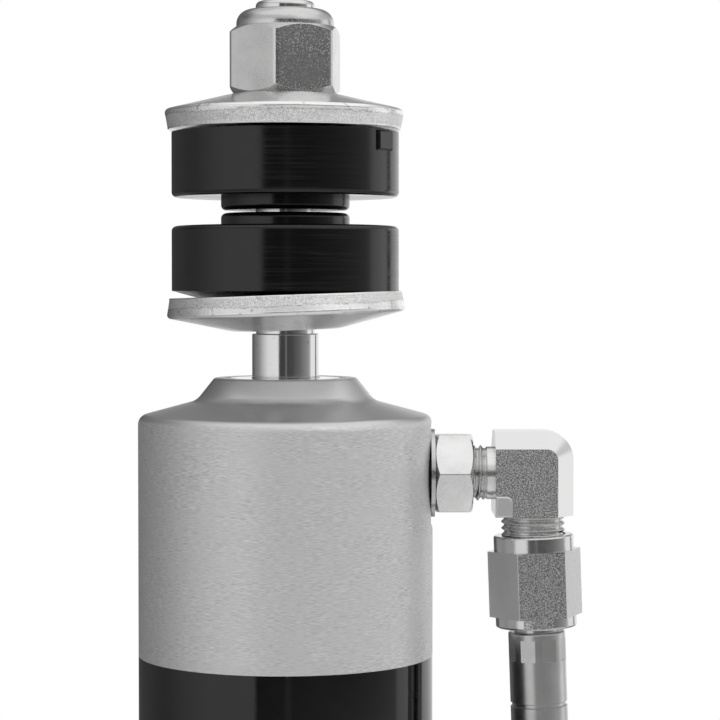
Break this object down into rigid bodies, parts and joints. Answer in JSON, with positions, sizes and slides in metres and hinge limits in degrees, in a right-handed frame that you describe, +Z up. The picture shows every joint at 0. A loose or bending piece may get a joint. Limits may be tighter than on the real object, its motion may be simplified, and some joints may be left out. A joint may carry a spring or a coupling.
{
  "type": "reservoir shock absorber",
  "caption": "Telescopic shock absorber with a stem top mount, an eye at the rod's end and a hose-fed reservoir clamped beside its body.",
  "frame": {"origin": "on the shock's axis, midway between the two stem bushings, where the bracket sits", "axes": "+Z up along the stem, +X towards the hose port and reservoir, lower bolt along Y"},
  "size_m": [0.1306, 0.0864, 0.749],
  "materials": {
    "zinc_steel": "bright zinc plate",
    "washer_zinc": "satin zinc plate over a pressed blank",
    "chrome": "polished hard chrome",
    "brushed_aluminium": "clear anodised, brushed around",
    "gloss_black": "gloss black powder coat",
    "clamp_black": "satin black anodised",
    "bushing_urethane": "black semi-gloss urethane",
    "seal_rubber": "black nitrile",
    "hose_braid": "braided stainless wire",
    "nylon": "natural nylon",
    "band_plastic": "bronze-filled sliding band",
    "cap_plastic": "black moulded plastic",
    "spring_steel": "bright spring steel",
    "piston_steel": "machined steel",
    "valve_brass": "nickel-free brass",
    "bush_bronze": "sintered bronze"
  },
  "bodies": {
    "body": {"stem_nut": "zinc_steel", "nut_locking_ring": "nylon", "upper_cup_washer": "washer_zinc", "lower_cup_washer": "washer_zinc", "upper_bushing": "bushing_urethane", "lower_bushing": "bushing_urethane", "mount_stem": "chrome", "stem_lock_ring": "chrome", "body_cap": "brushed_aluminium", "cap_seal": "seal_rubber", "port_seal": "seal_rubber", "adapter_seal": "seal_rubber", "body_tube": "gloss_black", "port_washer": "zinc_steel", "port_locknut": "zinc_steel", "port_elbow": "zinc_steel", "upper_swivel_nut": "zinc_steel", "lower_swivel_nut": "zinc_steel", "hose_nipples": "zinc_steel", "upper_hose_ferrule": "zinc_steel", "lower_hose_ferrule": "zinc_steel", "reservoir_hose": "hose_braid", "reservoir_adapter": "zinc_steel", "reservoir_tube": "gloss_black", "reservoir_oil_cap": "brushed_aluminium", "reservoir_gas_cap": "brushed_aluminium", "reservoir_cap_seals": "seal_rubber", "reservoir_snap_rings": "spring_steel", "gas_valve": "valve_brass", "upper_clamp_saddle": "clamp_black", "upper_clamp_body_strap": "clamp_black", "upper_clamp_reservoir_strap": "clamp_black", "lower_clamp_saddle": "clamp_black", "lower_clamp_body_strap": "clamp_black", "lower_clamp_reservoir_strap": "clamp_black", "clamp_screws": "zinc_steel", "seal_head": "brushed_aluminium", "rod_bush": "bush_bronze", "rod_seal": "seal_rubber", "seal_head_seal": "seal_rubber", "seal_head_snap_ring": "spring_steel", "wiper_cap": "brushed_aluminium", "rod_wiper": "seal_rubber"},
    "piston_band": {"piston_wear_band": "band_plastic"},
    "rod": {"piston_rod": "chrome", "piston": "piston_steel", "compression_shims": "spring_steel", "rebound_shims": "spring_steel", "stop_washers": "piston_steel", "piston_nut": "piston_steel", "top_out_bumper": "seal_rubber", "lower_eye": "gloss_black", "eye_bushings": "bushing_urethane"},
    "eye_sleeve": {"eye_sleeve": "zinc_steel"},
    "floating_piston": {"floating_piston": "brushed_aluminium", "floating_piston_seal": "seal_rubber", "floating_piston_band": "band_plastic"},
    "valve_core": {"valve_core": "valve_brass"},
    "valve_cap": {"valve_cap": "cap_plastic"}
  },
  "joints": [
    {"name": "rod_slide", "type": "slide", "parent": "body", "child": "piston_band", "axis": [0, 0, 1], "range_m": [0, 0.2], "stiffness_N_per_m": 60, "springref_m": -0.4},
    {"name": "rod_turn", "type": "hinge", "parent": "piston_band", "child": "rod", "pos_m": [0, 0, -0.68136], "axis": [0, 0, 1], "continuous": true},
    {"name": "floating_piston_slide", "type": "slide", "parent": "body", "child": "floating_piston", "axis": [0, 0, -1], "range_m": [0, 0.04898]},
    {"name": "eye_sleeve_turn", "type": "hinge", "parent": "rod", "child": "eye_sleeve", "pos_m": [0, 0, -0.68136], "axis": [0, 1, 0], "continuous": true},
    {"name": "valve_core_press", "type": "slide", "parent": "body", "child": "valve_core", "axis": [0, 0, 1], "range_m": [0, 0.001], "stiffness_N_per_m": 300},
    {"name": "valve_cap_lift_off", "type": "slide", "parent": "body", "child": "valve_cap", "axis": [0, 0, -1], "range_m": [0, 0.012]}
  ],
  "couplings": [
    {"joint": "floating_piston_slide", "follows": "rod_slide", "ratio": 0.2439}
  ]
}
